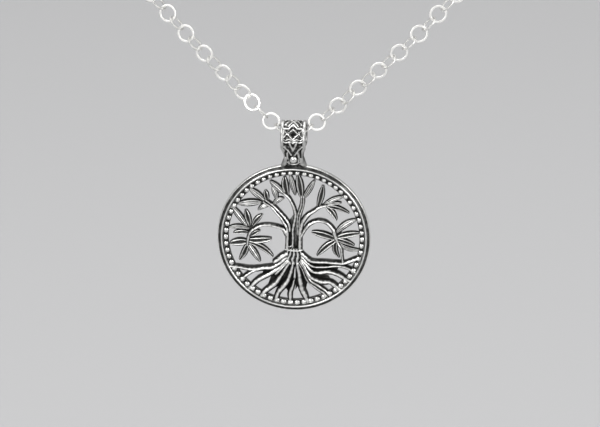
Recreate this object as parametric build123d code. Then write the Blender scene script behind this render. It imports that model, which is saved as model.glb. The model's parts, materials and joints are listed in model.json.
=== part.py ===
from build123d import *
from math import ceil, pi, sqrt
import os

# A round pierced pendant of a tree with its roots, cast in silver, hanging by a wide bail
# from a necklace of flat round links.
# Frame: +Z up, -Y the front, the origin at the nape, on the chain's centre line where the
# necklace lies on the neck.
# Millimetres. Degrees.

# Disc
disc_radius = 13.5
rim_width = 0.95
rim_depth = 1.8
rim_round = 0.8
rim_bevel = 0.12
bead_diameter = 1.02
bead_spacing = 1.214
bead_standing = 0.95
bead_row_gap = 0.06
ledge_front = 0.35
ledge_back = 0.65
ledge_reach = 0.45
disc_setback = 0.037

# Bail and neck
bail_bore = 2.3
bail_wall = 0.52
bail_width = 4.4
bail_edge_round = 0.3
bail_bore_toe = 0.7
hinge_to_rim = 5.0
neck_width = 3.1
neck_depth = 1.7
neck_flare = 4.8
neck_swell = 1.08
neck_ball = 0.62
bar_relief = 0.1
bar_width = 0.26
band_relief = 0.16
band_width = 0.34
eyelet = 0.72
side_eyelet = 0.46
eyelet_turn = 24.0

# Places below the bail's axis, in shares of the height from there to the rim
bail_ends = 0.3
neck_starts = 0.55
ball_place = 0.75
neck_spreads = 0.86

# Heights of the tree's relief, forward of the disc's middle plane
tree_back = 0.5
leaf_front = 0.42
rib_length = 0.8
rib_width = 0.35
ridge_width = 0.45
strand_steps = 3
wood_front = 0.6
ridge_front = 0.86
web_front = 0.2

# The bead row's radius in the units of the tree's tables, which are hundredths of the disc's
# radius at the sizes above. The tree grows with the row, so its tips stay under the beads.
bead_row_place = 88.74

# Bars across the bail's front, drawn straight on and laid on the tube.
# Columns: start across, start up, end across, end up, in shares of half the width and of the radius
bail_bar_rows = [
    (-1, -0.04, 0, 0.34), (0, 0.34, 1, -0.04),
    (-1, 0.21, 0, 0.78), (0, 0.78, 1, 0.21),
    (-1, 0.78, -0.3, 0.34), (1, 0.78, 0.3, 0.34),
    (-1, -0.69, 0, -0.53), (0, -0.53, 1, -0.69),
]

# Chain
link_outer = 3.18
link_band = 0.32
link_thickness = 0.26
link_gap = 0.15
neck_axis_back = 60.0

# Clasp and end rings
ring_wire = 0.6
ring_inner = 3.5
clasp_eye = 2.2
clasp_hook = 4.0
clasp_span = 6.0
clasp_wall = 0.9
clasp_depth = 1.2
clasp_gap = 0.22

# Values worked out from the sizes above
hinge_to_disc = disc_radius + hinge_to_rim
rim_inner = disc_radius - rim_width
bead_row = rim_inner - bead_row_gap - bead_diameter / 2
bead_count = round(2 * pi * bead_row / bead_spacing)
bail_outer = bail_bore + bail_wall
hundredth = bead_row / bead_row_place
neck_toe = -hinge_to_rim - rim_width / 2
link_inner = link_outer - 2 * link_band

# The chain's route from the hinge round the right side to the nape and back round the left.
# Columns: x to the right, y back, z up, all from the hinge.
chain_route = [
    (0, 0, 0.2), (4.05, 0, 2.75), (11.2, 0.2, 9.1), (18.6, 1, 15.7), (25.4, 2.8, 22.5), (46, 14, 47),
    (58, 36, 71), (60, 66, 95), (46, 92, 111.5), (24, 107.5, 118), (0, 111, 119.5), (-24, 107.5, 118),
    (-46, 92, 111.5), (-60, 66, 95), (-57, 36, 71), (-44, 14, 46), (-22.4, 2.8, 21.4), (-15.6, 0.6, 14.6),
    (-9, 0.1, 7.9), (-4, 0, 2.8), (0, 0, 0.2),
]

# How far the chain is turned about its own line. Columns: links from the bail, degrees
right_turns = [(2, 0), (4, 15), (7, 15), (12, -5)]
left_turns = [(2, 0), (4, -48), (5, -70), (7, -76), (12, -95)]

nape = Vector(*chain_route[len(chain_route) // 2])
hinge = nape * -1

# The tree's tables count u to the right and v up from the disc's centre.

# Leaves.
# Columns: base u, base v, middle u, middle v, tip u, tip v, width
leaves = [
    # high on the left
    (-42, 48, -58, 46.5, -73, 45, 9),
    (-38, 50, -46, 57, -58, 66, 8),
    (-34, 50, -36, 57, -37, 64, 7),
    (-29, 45, -38, 43, -47, 37, 6),
    (-27, 44.5, -20, 51.5, -13, 54, 6.5),
    (-22, 52, -24, 60, -28, 69, 7),
    # high in the middle
    (-12, 59, -20, 67, -31, 77, 8),
    (-8, 57, -11, 68, -12, 83, 9),
    (2, 58, -1, 70, -5, 86, 7),
    (10, 55, 8, 68, 5.5, 86, 10),
    (12, 53, 18, 63, 27, 79, 7),
    # high on the right
    (31, 42, 35.5, 58, 38, 72, 8),
    (38, 45, 51, 53, 66, 58, 6),
    (38, 44, 51, 47.5, 62, 49, 5.5),
    (38, 44, 57, 41.5, 72, 35, 6),
    (40, 45, 51, 34, 56, 25, 7),
    # left branch, above
    (-61, 14, -70, 27, -83, 43, 8),
    (-57, 15, -60, 26, -63, 37, 8),
    (-54, 15, -48, 24, -41, 31, 7),
    (-58, 11, -70, 13.5, -85, 12.5, 6),
    (-59, 6, -69, 6.5, -79, 5, 6.5),
    (-56, 2, -50, 6, -44, 9, 6),
    # left branch, below
    (-58, -7, -71, -7.5, -84, -9.5, 10),
    (-60, -8, -64.5, -21, -71, -32, 8),
    (-61, -8, -51.5, -22, -44, -34, 8),
    (-61, -7, -43, -13.5, -27, -27, 7),
    (-61, -4, -44, -4.5, -29, -2, 9),
    # right branch, above
    (54, 7, 66, 18.5, 82, 27, 8),
    (54, 1, 71, 5.5, 87, 8, 8),
    (54, 0, 69, -5, 79, -9, 7),
    (56, -4, 71, -13.5, 88, -15, 6),
    (56, -1, 39, 4.5, 23, 8.5, 9),
    # right branch, below
    (57, -1, 42, -11.5, 30, -24, 8),
    (56, -1, 53.5, -14, 59, -26, 7),
]

# Trunk, branches and twigs.
# Rows of points, each with the columns u, v, width
wood = {
    "left lower branch": [(-8, 3, 8), (-13.5, 11.5, 6), (-20, 14.8, 5.2), (-29, 16.6, 4.8),
                          (-38, 17, 4.6), (-44, 15.6, 4.6), (-50, 12.6, 5), (-55, 9, 5), (-58.6, 3, 5),
                          (-59.8, -4, 5), (-61, -12, 5)],
    "left upper branch below": [(-9, -17, 6), (-8.4, -6, 6), (-8.2, 5, 5.8), (-9.4, 14, 5.2),
                                (-12.5, 20, 4.8), (-16.5, 27, 4.6), (-22.5, 34, 4.2), (-30, 42.5, 4),
                                (-40, 49, 3)],
    "left upper branch above": [(-5.2, 9, 4), (-5.8, 17, 5), (-10, 25, 4.8), (-15.5, 32, 4.4),
                                (-21, 38, 4.4), (-28, 45, 4.2), (-37, 51.5, 3)],
    "middle left branch": [(-1.6, -13, 4.6), (-1.2, -2, 4.6), (-1.4, 9, 4.8), (0.4, 20, 5.4),
                           (2, 31, 5.4), (0.6, 40, 5), (-3, 49, 4.6), (-7, 55.5, 4.5), (-13, 61, 4)],
    "middle right branch": [(5.6, 4, 4.6), (5.6, 16, 5.8), (6.2, 27, 6.4), (8.4, 37, 7), (11, 47, 7),
                            (11.5, 58, 5)],
    "right upper branch": [(7.6, -16, 7), (8, -4, 6.8), (8.4, 7, 6.4), (9.4, 15, 6.4), (12, 23, 7.4),
                           (18, 31, 6.8), (26, 37, 5.5), (34, 43, 5), (44, 46, 4)],
    "right lower branch": [(9, 1, 4.6), (11.4, 6, 4.8), (15, 12.5, 5.6), (21, 19.5, 6), (31, 24, 5.5),
                           (42, 22, 5.5), (51, 13, 6), (54, 4, 6.5), (57, -5, 5), (62, -14, 4.5),
                           (63, -24, 4), (64, -34, 4)],
    "knot": [(-9, -9, 2.6), (-6, -11.6, 2.6), (-3, -10.4, 2.8), (-1.4, -7, 2.6)],
    "waist": [(-11.5, -15.6, 4.5), (-5, -16.4, 4.5), (1, -17, 4.5), (6, -16.8, 4.5),
              (11.5, -15.6, 4.5)],
}

# Roots.
# Rows of points, each with the columns u, v, width
roots = {
    "crown": [(0, -14, 18), (0, -20, 23), (0, -28, 30), (0, -36, 24)],
    "left bar": [(-8, -21, 9), (-12, -24, 9.5), (-19, -29, 9), (-27, -34.5, 6.5)],
    "left first": [(-9, -27, 6), (-12.5, -30, 6.5), (-19, -35.5, 7), (-28, -40.5, 8), (-40, -42.5, 8.5),
                   (-52, -44, 8), (-63, -43, 7), (-74, -41.2, 6), (-86, -40.5, 6)],
    "left first fork": [(-42, -43, 5), (-53, -46.5, 5.5), (-62, -52.5, 5.5), (-70, -59.5, 5)],
    "left second": [(-8, -30, 6), (-17, -39.5, 7.5), (-31, -50, 8), (-45, -57.5, 8.5), (-55, -67, 7.5),
                    (-61, -74, 6)],
    "left short": [(-6, -31, 5), (-13, -38, 5.5), (-19, -45, 6), (-24.5, -50.5, 5)],
    "left third": [(-5, -32, 5), (-10, -40.5, 6), (-18, -54, 8), (-26, -64.5, 9.5), (-36, -73, 8.5),
                   (-44, -81, 7)],
    "left fourth": [(-1, -33, 5.5), (-2.5, -42, 7), (-6.5, -55, 8.5), (-13, -66, 9.5), (-20, -75, 8.5),
                    (-24, -86, 6)],
    "middle": [(0.6, -57, 3), (-1.5, -66.5, 6), (-5, -77, 8), (-4, -89, 5)],
    "right fourth": [(4, -33, 6), (6, -44, 7.5), (8, -58, 9), (10.8, -70, 10), (15, -80, 8.5),
                     (19, -89, 6)],
    "right third": [(6.6, -32, 5), (12, -42, 6), (19, -57, 7.5), (30, -66, 9), (41, -74, 9), (47, -80, 7)],
    "right second": [(9, -31, 5), (14, -39, 5.5), (19, -50, 7), (27, -56, 8), (38, -60, 9),
                     (48, -60, 8), (59, -69, 8), (64, -74, 6.5)],
    "right inner": [(9, -29, 6), (15.5, -36, 6), (22.5, -44, 6.5), (32, -47, 7.5), (45, -45.5, 8.5),
                    (56, -48, 8), (68, -55, 7), (76, -60, 6)],
    "right first": [(9, -20, 7), (15, -26, 7), (24, -31.5, 6.5), (40, -32.3, 6.5), (55, -33, 6.5),
                    (67, -33, 6.5), (78, -28.6, 6.5), (88, -24.5, 6)],
    "right first fork": [(10, -25, 5.5), (17, -33, 5.5), (26, -38.4, 5), (40, -38.8, 4.5), (55, -37, 5),
                         (66, -38.4, 5.5), (75, -42, 5.5), (82, -46.5, 5)],
}

# Sunk metal that joins the strands of the trunk, the roots and the leaves, where they lie close.
# Rows of points round each web: u, v
webs = {
    "trunk": [(-10, -17), (-9.6, -5), (-10.4, 5), (-8, 20), (-4, 26), (2, 34), (6, 34), (9, 26),
              (13.4, 26), (10.4, 16), (9.6, 4), (9, -17)],
    "left roots": [(-6, -20), (-22, -38), (-40, -44), (-42, -54), (-30, -54), (-35, -68), (-23, -69),
                   (-14, -64), (-8, -74), (-1, -62), (2, -30)],
    "right roots": [(2, -30), (2, -72), (8, -62), (15, -74), (18, -60), (36, -58), (49, -58), (45, -52),
                    (30, -50), (56, -44), (60, -37), (24, -33), (9, -20)],
    "left leaves": [(-30, 47), (-36, 54), (-45, 51), (-44, 45)],
    "middle leaves": [(-12, 58), (-17, 64), (-10, 70), (-6, 63)],
    "right leaves": [(38, 45), (43, 51), (51, 49), (50, 44)],
    "left spray": [(-58, 4), (-65, 12), (-60, 20), (-53, 17), (-50, 7)],
    "right spray": [(56, 8), (60, 12), (65, 6), (62, -7), (54, -4)],
}


def at(u, v):
    """A place on the disc, from the tables' hundredths."""
    return Vector(u * hundredth, v * hundredth)


def plate(face, back, front):
    """A flat shape drawn in X and Z, thick from back to front, both counted forward."""
    return extrude(Pos(0, -back, 0) * (Plane.XZ * face), front - back)


def leaf_face(row, share=1.0):
    """A pointed leaf, bounded by two arcs, or a rib that is a share of its width and length."""
    base_u, base_v, middle_u, middle_v, tip_u, tip_v, width = row
    middle = at(middle_u, middle_v)
    shorter = 1.0 if share == 1.0 else rib_length
    base = middle + (at(base_u, base_v) - middle) * shorter
    tip = middle + (at(tip_u, tip_v) - middle) * shorter
    along = (tip - base).normalized()
    aside = Vector(-along.Y, along.X) * (width * share * hundredth / 2)
    return make_face([ThreePointArc(base, middle + aside, tip), ThreePointArc(tip, middle - aside, base)])


def between(before, start, end, after, share):
    """A number a share of the way from start to end, on a smooth curve through all four."""
    bend = 2 * before - 5 * start + 4 * end - after
    turn = 3 * (start - end) + after - before
    return start + share * (end - before + share * (bend + share * turn)) / 2


def smooth(rows):
    """The rows of a table, with more worked out between them on a smooth curve."""
    finer = []
    for i in range(len(rows) - 1):
        around = (rows[max(i - 1, 0)], rows[i], rows[i + 1], rows[min(i + 2, len(rows) - 1)])
        for k in range(strand_steps):
            finer.append([between(*column, k / strand_steps) for column in zip(*around)])
    return finer + [rows[-1]]


def strip_face(rows, share=1.0):
    """A curved strip whose width changes from point to point."""
    rows = smooth(rows)
    points = [at(u, v) for u, v, _ in rows]
    left = []
    right = []
    for i, (_, _, width) in enumerate(rows):
        along = (points[min(i + 1, len(rows) - 1)] - points[max(i - 1, 0)]).normalized()
        aside = Vector(-along.Y, along.X) * (width * share * hundredth / 2)
        left.append(points[i] + aside)
        right.append(points[i] - aside)
    right.reverse()
    return make_face(Polyline(left + right, close=True))


def web_face(points):
    """A flat web with straight sides."""
    return make_face(Polyline([at(u, v) for u, v in points], close=True))


def rim():
    """The polished rim, half round outside, with the ledge that carries the beads."""
    shoulder = disc_radius - rim_round * rim_width
    half = rim_depth / 2
    lip = half - rim_bevel * rim_width
    outline = [
        ThreePointArc((shoulder, half), (disc_radius, 0), (shoulder, -half)),
        Line((shoulder, -half), (rim_inner, -lip)),
        Line((rim_inner, -lip), (rim_inner, lip)),
        Line((rim_inner, lip), (shoulder, half)),
    ]
    band = revolve(make_face(outline), Axis.Y)
    ledge_inner = bead_row - ledge_reach * bead_diameter
    ledge = plate(Circle(rim_inner + rim_width / 3) - Circle(ledge_inner), -ledge_back, ledge_front)
    return band + ledge


def beads():
    """The row of round beads on the ledge."""
    standing = bead_standing - bead_diameter / 2
    bead = Pos(0, -standing, bead_row) * Sphere(bead_diameter / 2)
    return [Rot(0, 360 * i / bead_count, 0) * bead for i in range(bead_count)]


def tree():
    """Trunk, branches, leaves and roots in relief, built up in slabs from the back."""
    web_faces = [web_face(points) for points in webs.values()]
    leaf_faces = [leaf_face(row) for row in leaves]
    ribs = [leaf_face(row, rib_width) for row in leaves]
    strips = list(wood.values()) + list(roots.values())
    strands = [strip_face(rows) for rows in strips]
    ridges = [strip_face(rows, ridge_width) for rows in strips]
    slabs = [
        (web_faces + leaf_faces + strands, -tree_back, web_front),
        (leaf_faces + strands, web_front, leaf_front),
        (ribs + strands, leaf_front, wood_front),
        (ridges, wood_front, ridge_front),
    ]
    bound = Circle(bead_row)
    solids = []
    for faces, back, front in slabs:
        joined = Sketch() + faces
        solids += plate(joined & bound, back, front).solids()
    return solids[0].fuse(*solids[1:])


def teardrop(radius, toe_radius, depth):
    """A circle drawn out downwards to a smaller one, with straight sides that touch both."""
    fall = -(radius - toe_radius) / depth
    reach = sqrt(1 - fall ** 2)
    return make_face([
        ThreePointArc((-radius * reach, radius * fall), (0, radius), (radius * reach, radius * fall)),
        Line((radius * reach, radius * fall), (toe_radius * reach, toe_radius * fall - depth)),
        ThreePointArc((toe_radius * reach, toe_radius * fall - depth), (0, -depth - toe_radius),
                      (-toe_radius * reach, toe_radius * fall - depth)),
        Line((-toe_radius * reach, toe_radius * fall - depth), (-radius * reach, radius * fall)),
    ])


def neck_front(height):
    """How far the neck's front stands out from the hinge axis, at a height below it."""
    fall = -(bail_outer - neck_depth / 2) / -neck_toe
    reach = sqrt(1 - fall ** 2)
    return (bail_outer - height * fall) / reach


def bail_body():
    """The bail's tube and the neck below it, still solid, about the hinge."""
    side = teardrop(bail_outer, neck_depth / 2, -neck_toe)
    body = extrude(Plane.YZ * side, neck_flare / 2 + 1, both=True)
    half = bail_width / 2
    waist = neck_width / 2
    shoulder = -bail_ends * hinge_to_rim
    narrow = -neck_starts * hinge_to_rim
    low = -neck_spreads * hinge_to_rim
    front = make_face([
        Polyline((-waist, narrow), (-half, shoulder), (-half, bail_outer + 1), (half, bail_outer + 1),
                 (half, shoulder), (waist, narrow)),
        ThreePointArc((waist, narrow), (neck_swell * waist, low), (neck_flare / 2, neck_toe)),
        Line((neck_flare / 2, neck_toe), (-neck_flare / 2, neck_toe)),
        ThreePointArc((-neck_flare / 2, neck_toe), (-neck_swell * waist, low), (-waist, narrow)),
    ])
    return body & plate(front, -bail_outer - 1, bail_outer + 1)


def bail_bars():
    """Raised bars that cross the bail's front and top."""
    half = bail_width / 2 - band_width / 2
    drawn = Sketch()
    for start_across, start_up, end_across, end_up in bail_bar_rows:
        start = Vector(start_across * half, start_up * bail_outer)
        end = Vector(end_across * half, end_up * bail_outer)
        drawn += SlotCenterPoint((start + end) / 2, end, bar_width)
    facing = Plane((0, 0, 0), x_dir=(1, 0, 0), z_dir=(0, -1, 1))
    tube = extrude(Plane.YZ * Circle(bail_outer + bar_relief), half, both=True)
    return (tube & extrude(facing * drawn, 2 * bail_outer)).solids()


def bail_bands():
    """A raised band round each mouth of the bail, and the ball on the neck."""
    ring = Circle(bail_outer + band_relief) - Circle(bail_bore + bail_wall / 2)
    band = extrude(Plane.YZ * ring, band_width)
    inset = bail_width / 2 - band_width
    ball_height = -ball_place * hinge_to_rim
    ball = Pos(0, -neck_front(ball_height), ball_height) * Sphere(neck_ball)
    return [Pos(inset, 0, 0) * band, Pos(-inset - band_width, 0, 0) * band, ball]


def bail_hollows():
    """The bore with its eased mouths, and the eyelets pierced through the front."""
    through = extrude(Plane.YZ * teardrop(bail_bore, bail_bore_toe, bail_outer), neck_flare, both=True)
    mouth = Cone(bail_bore, bail_bore + 2 * bail_edge_round, 2 * bail_edge_round)
    inset = bail_width / 2
    holes = Rot(0, 0, 45) * Rectangle(eyelet, eyelet)
    for side in (-1, 1):
        holes += Pos(side * bail_width / 3, 0) * Circle(side_eyelet / 2)
    eyelets = Rot(-eyelet_turn, 0, 0) * extrude(Plane.XZ * holes, bail_outer + 1)
    mouths = [Pos(side * inset, 0, 0) * Rot(0, side * 90, 0) * mouth for side in (-1, 1)]
    return [through] + mouths + list(eyelets.solids())


def pendant():
    """The whole casting, placed so that the hinge axis is the X axis."""
    disc = rim().fuse(tree()).fuse(*beads())
    disc = Pos(0, disc_setback, -hinge_to_disc) * disc
    head = bail_body().fuse(*bail_bars(), *bail_bands()).cut(*bail_hollows())
    return disc.fuse(head)


def linked(inner_a, thick_a, inner_b, thick_b, gap):
    """The distance between the centres of two rings that pass through each other, drawn tight."""
    reach_a = sqrt((inner_a / 2 - gap) ** 2 - thick_b ** 2 / 4)
    reach_b = sqrt((inner_b / 2 - gap) ** 2 - thick_a ** 2 / 4)
    return min(inner_b / 2 + reach_a, inner_a / 2 + reach_b)


def link():
    """One flat round link, in its own XY plane."""
    ring = Circle(link_outer / 2) - Circle(link_inner / 2)
    return extrude(ring, link_thickness / 2, both=True)


def chain_line():
    """The necklace's closed line, one smooth curve from the hinge back to the hinge."""
    return Spline([Vector(*point) for point in chain_route])


def place(route, s):
    """The point and the direction at a length s along the route."""
    point = route.position_at(s, position_mode=PositionMode.LENGTH)
    return point, route.tangent_at(s, position_mode=PositionMode.LENGTH)


def facing_plane(point, along, roll, crosswise):
    """The plane of a ring at a point of the route: facing out from the neck, or crosswise to that."""
    outward = Vector(point.X, point.Y - neck_axis_back, 0)
    normal = (outward - along * outward.dot(along)).normalized()
    normal = normal.rotate(Axis((0, 0, 0), along), roll)
    if crosswise:
        normal = along.cross(normal)
    return Plane(point, x_dir=along, z_dir=normal)


def turned(rows, steps):
    """How far the chain is turned some links from the bail, worked out between the rows of a table."""
    if steps <= rows[0][0]:
        return rows[0][1]
    for (start, low), (end, high) in zip(rows, rows[1:]):
        if steps <= end:
            return low + (high - low) * (steps - start) / (end - start)
    return rows[-1][1]


def necklace():
    """The loose links, the end rings and the clasp, laid along the route."""
    route = chain_line()
    link_pitch = linked(link_inner, link_thickness, link_inner, link_thickness, link_gap)
    link_to_ring = linked(link_inner, link_thickness, ring_inner, ring_wire, link_gap)
    ring_to_eye = linked(ring_inner, ring_wire, clasp_eye, clasp_depth, clasp_gap)
    ring_to_hook = linked(ring_inner, ring_wire, clasp_hook, clasp_depth, clasp_gap)
    closing = 2 * link_to_ring + ring_to_eye + clasp_span + ring_to_hook
    steps = ceil((route.length - closing) / link_pitch)
    steps += 1 - steps % 2
    pitch = (route.length - closing) / steps
    right_steps = 2 * round(steps / 4)

    one = link()
    links = {"right": [], "left": [Pos(*chain_route[0]) * Plane.XZ.location * one]}
    for i in range(1, right_steps + 1):
        point, along = place(route, i * pitch)
        plane = facing_plane(point, along, turned(right_turns, i), i % 2 == 1)
        links["right"].append(plane.location * one)
    for i in range(1, steps - right_steps + 1):
        point, along = place(route, route.length - i * pitch)
        plane = facing_plane(point, along, turned(left_turns, i), i % 2 == 1)
        links["left"].append(plane.location * one)

    ring_right_s = right_steps * pitch + link_to_ring
    clasp_s = ring_right_s + ring_to_hook + clasp_span / 2
    ring_left_s = clasp_s + clasp_span / 2 + ring_to_eye
    ring = Torus((ring_inner + ring_wire) / 2, ring_wire / 2)
    last_turn = turned(right_turns, right_steps)
    rings = {}
    for name, s in {"ring_right": ring_right_s, "ring_left": ring_left_s}.items():
        point, along = place(route, s)
        rings[name] = facing_plane(point, along, last_turn, True).location * ring
    point, along = place(route, clasp_s)
    closed = facing_plane(point, along, last_turn, False).location * clasp()
    print("loop", round(route.length, 2), "links", steps + 1, "pitch", round(pitch, 4))
    return links, rings, closed


def clasp():
    """A plain closed clasp: an eye for one ring and a larger loop that holds the other."""
    eye_outer = clasp_eye / 2 + clasp_wall
    hook_outer = clasp_hook / 2 + clasp_wall
    lean = (hook_outer - eye_outer) / clasp_span
    reach = sqrt(1 - lean ** 2)
    eye_touch = (clasp_span / 2 + eye_outer * lean, eye_outer * reach)
    hook_touch = (-clasp_span / 2 + hook_outer * lean, hook_outer * reach)
    body = make_face([
        Line(hook_touch, eye_touch),
        ThreePointArc(eye_touch, (clasp_span / 2 + eye_outer, 0), (eye_touch[0], -eye_touch[1])),
        Line((eye_touch[0], -eye_touch[1]), (hook_touch[0], -hook_touch[1])),
        ThreePointArc((hook_touch[0], -hook_touch[1]), (-clasp_span / 2 - hook_outer, 0), hook_touch),
    ])
    body -= Pos(clasp_span / 2, 0) * Circle(clasp_eye / 2)
    body -= Pos(-clasp_span / 2, 0) * Circle(clasp_hook / 2)
    return extrude(body, clasp_depth / 2, both=True)


def save(shape, name):
    """Moves a finished node from the hinge's frame to the nape's and writes it."""
    export_step(Pos(hinge) * shape, "parts/" + name + ".step")


def main():
    os.makedirs("parts", exist_ok=True)
    casting = pendant()
    centre = casting.center(CenterOf.MASS)
    print("pendant volume", round(casting.volume, 2), "centre of mass", centre)
    save(casting, "pendant")
    links, rings, closed = necklace()
    for name in ("left", "right"):
        save(Compound(children=links[name]), "chain_" + name)
    for name, ring in rings.items():
        save(ring, name)
    save(closed, "clasp")


if __name__ == "__main__":
    main()
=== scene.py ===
import json
import math

import bmesh
import bpy
import numpy as np
from bpy.props import FloatProperty, FloatVectorProperty, IntProperty, PointerProperty
from mathutils import Matrix, Vector


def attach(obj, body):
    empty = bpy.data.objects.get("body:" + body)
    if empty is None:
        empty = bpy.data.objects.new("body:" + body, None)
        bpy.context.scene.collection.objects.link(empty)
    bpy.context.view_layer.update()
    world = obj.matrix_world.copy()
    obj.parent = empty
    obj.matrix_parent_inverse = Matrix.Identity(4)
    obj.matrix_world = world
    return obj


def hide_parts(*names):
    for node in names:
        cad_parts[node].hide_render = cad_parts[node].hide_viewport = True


bl_info = {
    "name": "Tree Pendant Necklace",
    "version": (1, 0, 0),
    "blender": (4, 5, 0),
    "location": "View3D > Sidebar > Tree Pendant",
    "description": "Sculpts a cast tree pendant and its chain of round links over the packed frame",
    "category": "Object",
}

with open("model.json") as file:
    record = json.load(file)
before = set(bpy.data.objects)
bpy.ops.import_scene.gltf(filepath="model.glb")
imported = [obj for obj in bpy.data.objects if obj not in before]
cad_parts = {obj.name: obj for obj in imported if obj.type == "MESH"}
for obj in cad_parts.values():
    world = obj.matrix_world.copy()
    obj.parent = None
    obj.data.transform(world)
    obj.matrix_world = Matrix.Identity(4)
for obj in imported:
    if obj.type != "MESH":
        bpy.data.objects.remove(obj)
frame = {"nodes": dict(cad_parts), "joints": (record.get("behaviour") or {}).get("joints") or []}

# Sizes are in millimetres, and places from the hinge, x right, y back and z up, where nothing else
# is said. Heights on the disc are forward of its middle plane.
MM = 0.001
HINGE = np.array(frame["joints"][0]["pos_m"]) / MM
WELD = 1e-7  # metres

# The disc
DISC_RADIUS = 13.5
DISC_CENTRE = np.array((0.0, 0.037, -18.5))
RIM_STEPS = 240
BEAD_ROW = 11.98
BEAD_HEIGHT = 0.4
BEAD_STACKS = 9
BEAD_TURNS = 14
BEAD_POLE = 0.12  # radians left flat at each pole
BEAD_UNEVENNESS = 0.09

# The tree on the disc
TREE_BACK = 0.5
BACK_STAGGER = 0.003  # so that no two backs lie in one plane
BACK_RELIEF = 0.4
LEAF_INSET = 0.06
WEB_INSET = 0.08
WEB_HEIGHT = 0.2
STRAND_HEIGHT = 0.24
STRAND_DOME = 0.24
STRAND_CREST = 0.38
STRAND_DROP = 0.12  # at its ends
STRAND_STEPS = 6

# Leaves. The places across are shares of the half width.
LEAF_STEPS = 21
LEAF_FULLNESS = 0.62
LEAF_BROADER = 1.15
LEAF_ACROSS = np.array((-1, -0.86, -0.72, -0.58, -0.44, -0.26, -0.1, 0,
                        0.1, 0.26, 0.44, 0.58, 0.72, 0.86, 1))
LEAF_BORDER = 0.56
LEAF_BORDER_WIDTH = 0.15
LEAF_RIB_WIDTH = 0.14
RIBBED = 1  # the kind of leaf with a raised rib

# The bail: a tube whose section runs down to a narrow toe in the rim
BAIL_BORE = 2.3
BAIL_OUTER = 2.82
BAIL_TOE = 0.85
BAIL_DEPTH = 5.475
BORE_TOE = 0.7
BORE_DEPTH = 2.82
BAIL_COLUMNS = 61
BAIL_STEPS = (74, 130, 24, 10)  # front, over the top, back, toe
BAIL_BAND = 0.5
BAIL_SUNK = 0.1
BAIL_RAISED = 0.1
CARVED_TO = 5.5
PLAIN_FROM = 6.1
BAIL_ROUNDING = 0.24
BALL_PLACE = np.array((0, -4.0))
BALL_RADIUS = 0.66
BALL_HEIGHT = 0.42
DIMPLE_PLACE = np.array((0, -3.9))
DIMPLE_RADIUS = 0.13
DIMPLE_DEPTH = 0.12
EYELET_TILT = 24  # degrees
EYELET_FORWARD = 2.9

# Links, end rings and clasp. A form's columns: half depth, squareness and sides of the wire's
# section, and steps round the ring
LINK_RADIUS = 1.59
LINK_FORM = (0.13, 0.3, 16, 36)
RING_MIDDLE = 2.05
RING_HALF_WIRE = 0.3
RING_FORM = (0.3, 1.0, 16, 48)
CLASP_EASING = 0.25

# Finishes. Columns: roughness where polished, share of the grain, its depth in metres
CAST_FINISH = (0.3, 1.0, 0.00002)
CHAIN_FINISH = (0.45, 0.6, 0.000012)
# How dark the painted shade on the chain's edge-on links and ring insides goes
CHAIN_PAINTED_SHADE = 0.45

# The tarnish, which also paints the shade stored in the relief. The scales of its noises are per metre.
CLOUD_SCALE = 1100
GRAIN_SCALE = 5200
SCRATCH_SCALE = 900
SCRATCH_STRETCH = (1, 1, 14)
SCRATCH_DEPTH = 0.35
MOTTLE = (-0.05, 0.09)  # what scratches take from the roughness and add to it
UNEVENNESS = 0.22
DARK_BELOW = 0.12
BRIGHT_ABOVE = 0.72

# The stage, in metres and degrees. The camera aims at a place in millimetres.
FLOOR_REACH = 3.0
FLOOR_LEVEL = -0.34
LIGHTS_AIM = (0, 0, -0.014)
CAMERA_TURN = 4
CAMERA_RISE = 18.4
CAMERA_AIM = np.array((1.06, 0, -14.08))
CAMERA_DISTANCE = 0.62
PICTURE_WIDTH = 0.1052
SENSOR_WIDTH = 36
SKY_FRONT = 0.06
SKY_BACK = 0.4

# Lights. Columns: name, place from the pendant, size, power in watts, beam in degrees
LIGHTS = [
    ("key light", (-1.3, -0.9, 1.6), 0.8, 29, 180),
    ("right light", (1.7, -0.7, 0.8), 0.7, 24, 180),
    ("top light", (0.0, 0.7, 2.0), 1.4, 26, 180),
    ("front light", (-0.3, -1.8, 0.25), 1.2, 3.6, 70),
]

# The rim's section. Columns: radius, height, relief. The low relief across the cove between its two
# bright lines paints the dark reflection of the polished rim there, besides the oxide in the cove.
RIM_SECTION = [
    (12.55, 0.6, 0.3), (12.56, 0.78, 0.8), (12.62, 0.87, 1), (12.7, 0.9, 1), (12.77, 0.88, 0.9),
    (12.82, 0.83, 0.4), (12.88, 0.76, 0.22), (12.97, 0.68, 0.2), (13.1, 0.59, 0.18), (13.22, 0.53, 0.18),
    (13.32, 0.5, 0.2), (13.36, 0.51, 0.7), (13.42, 0.48, 0.95), (13.46, 0.38, 1), (13.49, 0.2, 0.9),
    (13.5, 0, 0.5), (13.48, -0.2, 0.4), (13.4, -0.42, 0.5), (13.25, -0.62, 0.7), (13.0, -0.78, 0.7),
    (12.78, -0.88, 0.7), (12.62, -0.86, 0.7), (12.55, -0.74, 0.5), (12.55, 0, 0.3),
]

# The section of the ledge that carries the beads. Columns: radius, height, relief
LEDGE_SECTION = [
    (12.6, 0.4, 0.4), (12.35, 0.34, 0.25), (12.1, 0.3, 0.1), (11.75, 0.3, 0.05), (11.58, 0.33, 0.3),
    (11.52, 0.26, 0.15), (11.52, -0.5, 0.3), (11.6, -0.62, 0.5), (12.2, -0.65, 0.5), (12.6, -0.65, 0.4),
]

# Half width of the bail and its neck. Columns: height from the hinge, half width
BAIL_HALF_WIDTHS = [
    (-6.4, 2.42), (-5.48, 2.36), (-5.1, 1.98), (-4.7, 1.76), (-4.3, 1.66), (-3.6, 1.6), (-2.75, 1.57),
    (-1.5, 2.2), (3, 2.2),
]

# Eyelets cut through the bail's front. Columns: x, radius, sides
EYELETS = [(0, 0.5, 4), (-1.42, 0.2, 12), (1.42, 0.2, 12)]

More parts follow.
